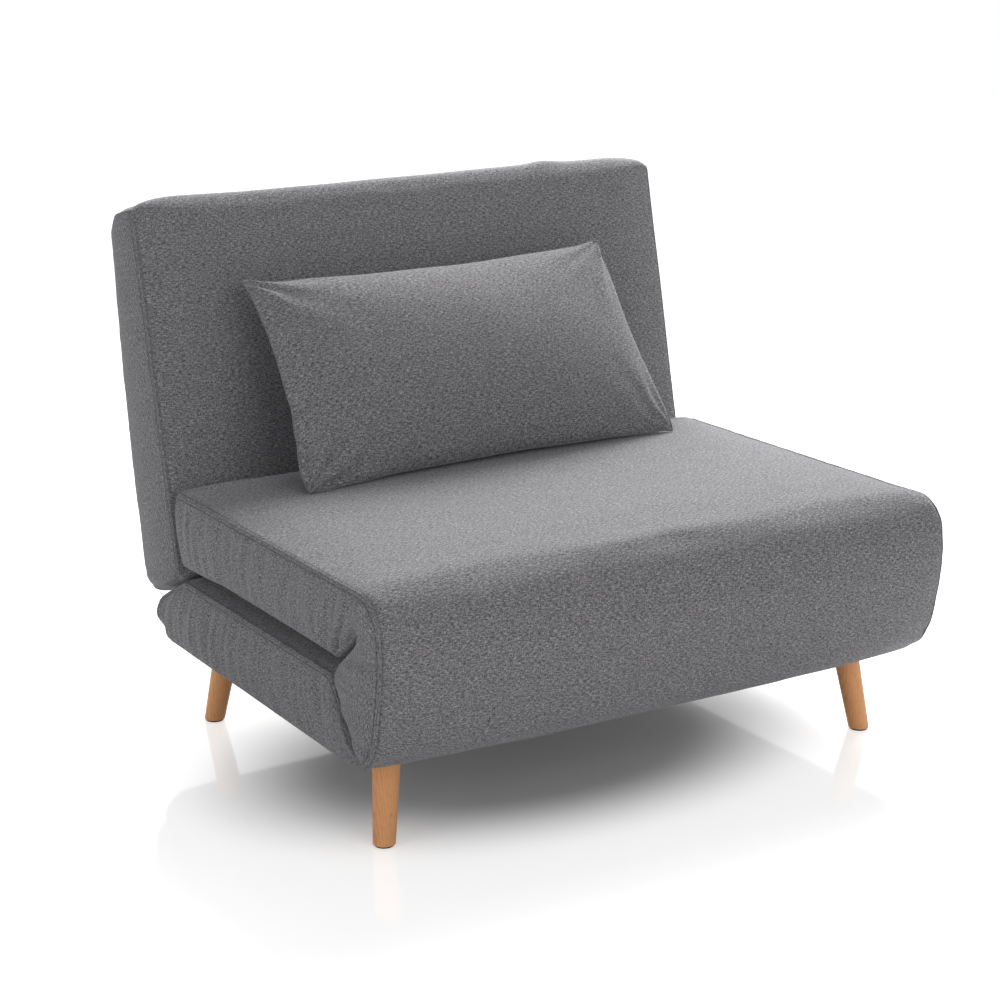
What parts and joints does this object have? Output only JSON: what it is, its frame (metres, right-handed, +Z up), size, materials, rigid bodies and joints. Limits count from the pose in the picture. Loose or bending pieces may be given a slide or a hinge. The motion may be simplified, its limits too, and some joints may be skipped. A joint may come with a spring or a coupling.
{
  "type": "convertible chair bed",
  "caption": "Wide padded armless chair on turned wooden legs whose seat and front fold out and whose back reclines to make a single bed, with a loose pillow.",
  "frame": {"origin": "middle of the chair's outer box on the floor, as a chair with the back upright", "axes": "+X along the width, -Y is the chair's front, +Z up"},
  "size_m": [1, 0.9192, 0.8567],
  "materials": {
    "upholstery": "woven melange, matt",
    "pillow_fabric": "woven melange, matt",
    "foam": "open-cell foam",
    "fibre_fill": "loose fibre",
    "frame_timber": "planed softwood",
    "plywood": "plywood",
    "slat_birch": "bent laminated slat",
    "plastic_cap": "moulded",
    "webbing": "elastic webbing",
    "leg_beech": "oiled beech",
    "glide": "felt-faced plastic",
    "shoe": "moulded rubber",
    "support_steel": "powder coated",
    "hinge_steel": "powder coated",
    "pin_steel": "zinc plated"
  },
  "bodies": {
    "base": {"base_cover": "upholstery", "base_foam": "foam", "base_rail_left": "frame_timber", "base_rail_right": "frame_timber", "base_rail_front": "frame_timber", "base_rail_rear": "frame_timber", "base_slats": "slat_birch", "base_slat_caps": "plastic_cap", "leg_front_left": "leg_beech", "leg_front_right": "leg_beech", "leg_rear_left": "leg_beech", "leg_rear_right": "leg_beech", "leg_plates": "hinge_steel", "leg_studs": "pin_steel", "leg_glides": "glide", "front_hinge_bracket_left": "hinge_steel", "front_hinge_bracket_right": "hinge_steel", "ratchet_bracket_left": "hinge_steel", "ratchet_bracket_right": "hinge_steel", "front_hinge_pins": "pin_steel", "ratchet_pins": "pin_steel"},
    "back": {"back_cover": "upholstery", "back_front_foam": "foam", "back_rear_foam": "foam", "back_stile_left": "frame_timber", "back_stile_right": "frame_timber", "back_rail_top": "frame_timber", "back_rail_bottom": "frame_timber", "back_webbing": "webbing", "ratchet_arm_left": "hinge_steel", "ratchet_arm_right": "hinge_steel"},
    "front": {"front_cover": "upholstery", "front_foam": "foam", "front_board": "plywood", "front_link_left": "hinge_steel", "front_link_right": "hinge_steel", "seat_hinge_pins": "pin_steel"},
    "seat": {"seat_cover": "upholstery", "seat_top_foam": "foam", "seat_bed_foam": "foam", "seat_rail_left": "frame_timber", "seat_rail_right": "frame_timber", "seat_rail_front": "frame_timber", "seat_rail_rear": "frame_timber", "seat_slats": "slat_birch", "seat_slat_caps": "plastic_cap", "seat_hinge_bracket_left": "hinge_steel", "seat_hinge_bracket_right": "hinge_steel", "support_brackets": "hinge_steel", "support_pins": "pin_steel"},
    "support_left": {"support_leg_left": "support_steel", "support_shoe_left": "shoe"},
    "support_right": {"support_leg_right": "support_steel", "support_shoe_right": "shoe"},
    "pillow": {"pillow_cover": "pillow_fabric", "pillow_fill": "fibre_fill"}
  },
  "joints": [
    {"name": "back_recline", "type": "hinge", "parent": "base", "child": "back", "pos_m": [0, 0.2855, 0.15], "axis": [-1, 0, 0], "range_deg": [0, 76.7]},
    {"name": "front_fold", "type": "hinge", "parent": "base", "child": "front", "pos_m": [0, -0.4065, 0.172], "axis": [1, 0, 0], "range_deg": [0, 90]},
    {"name": "seat_fold", "type": "hinge", "parent": "front", "child": "seat", "pos_m": [0, -0.4175, 0.364], "axis": [1, 0, 0], "range_deg": [0, 90]},
    {"name": "support_leg_left_swing", "type": "hinge", "parent": "seat", "child": "support_left", "pos_m": [-0.455, 0.1975, 0.366], "axis": [0, -1, 0], "range_deg": [0, 90]},
    {"name": "support_leg_right_swing", "type": "hinge", "parent": "seat", "child": "support_right", "pos_m": [0.455, 0.1975, 0.366], "axis": [0, 1, 0], "range_deg": [0, 90]},
    {"name": "pillow_lift", "type": "slide", "parent": "seat", "child": "pillow", "axis": [0, 0, 1], "range_m": [0, 0.4]}
  ]
}
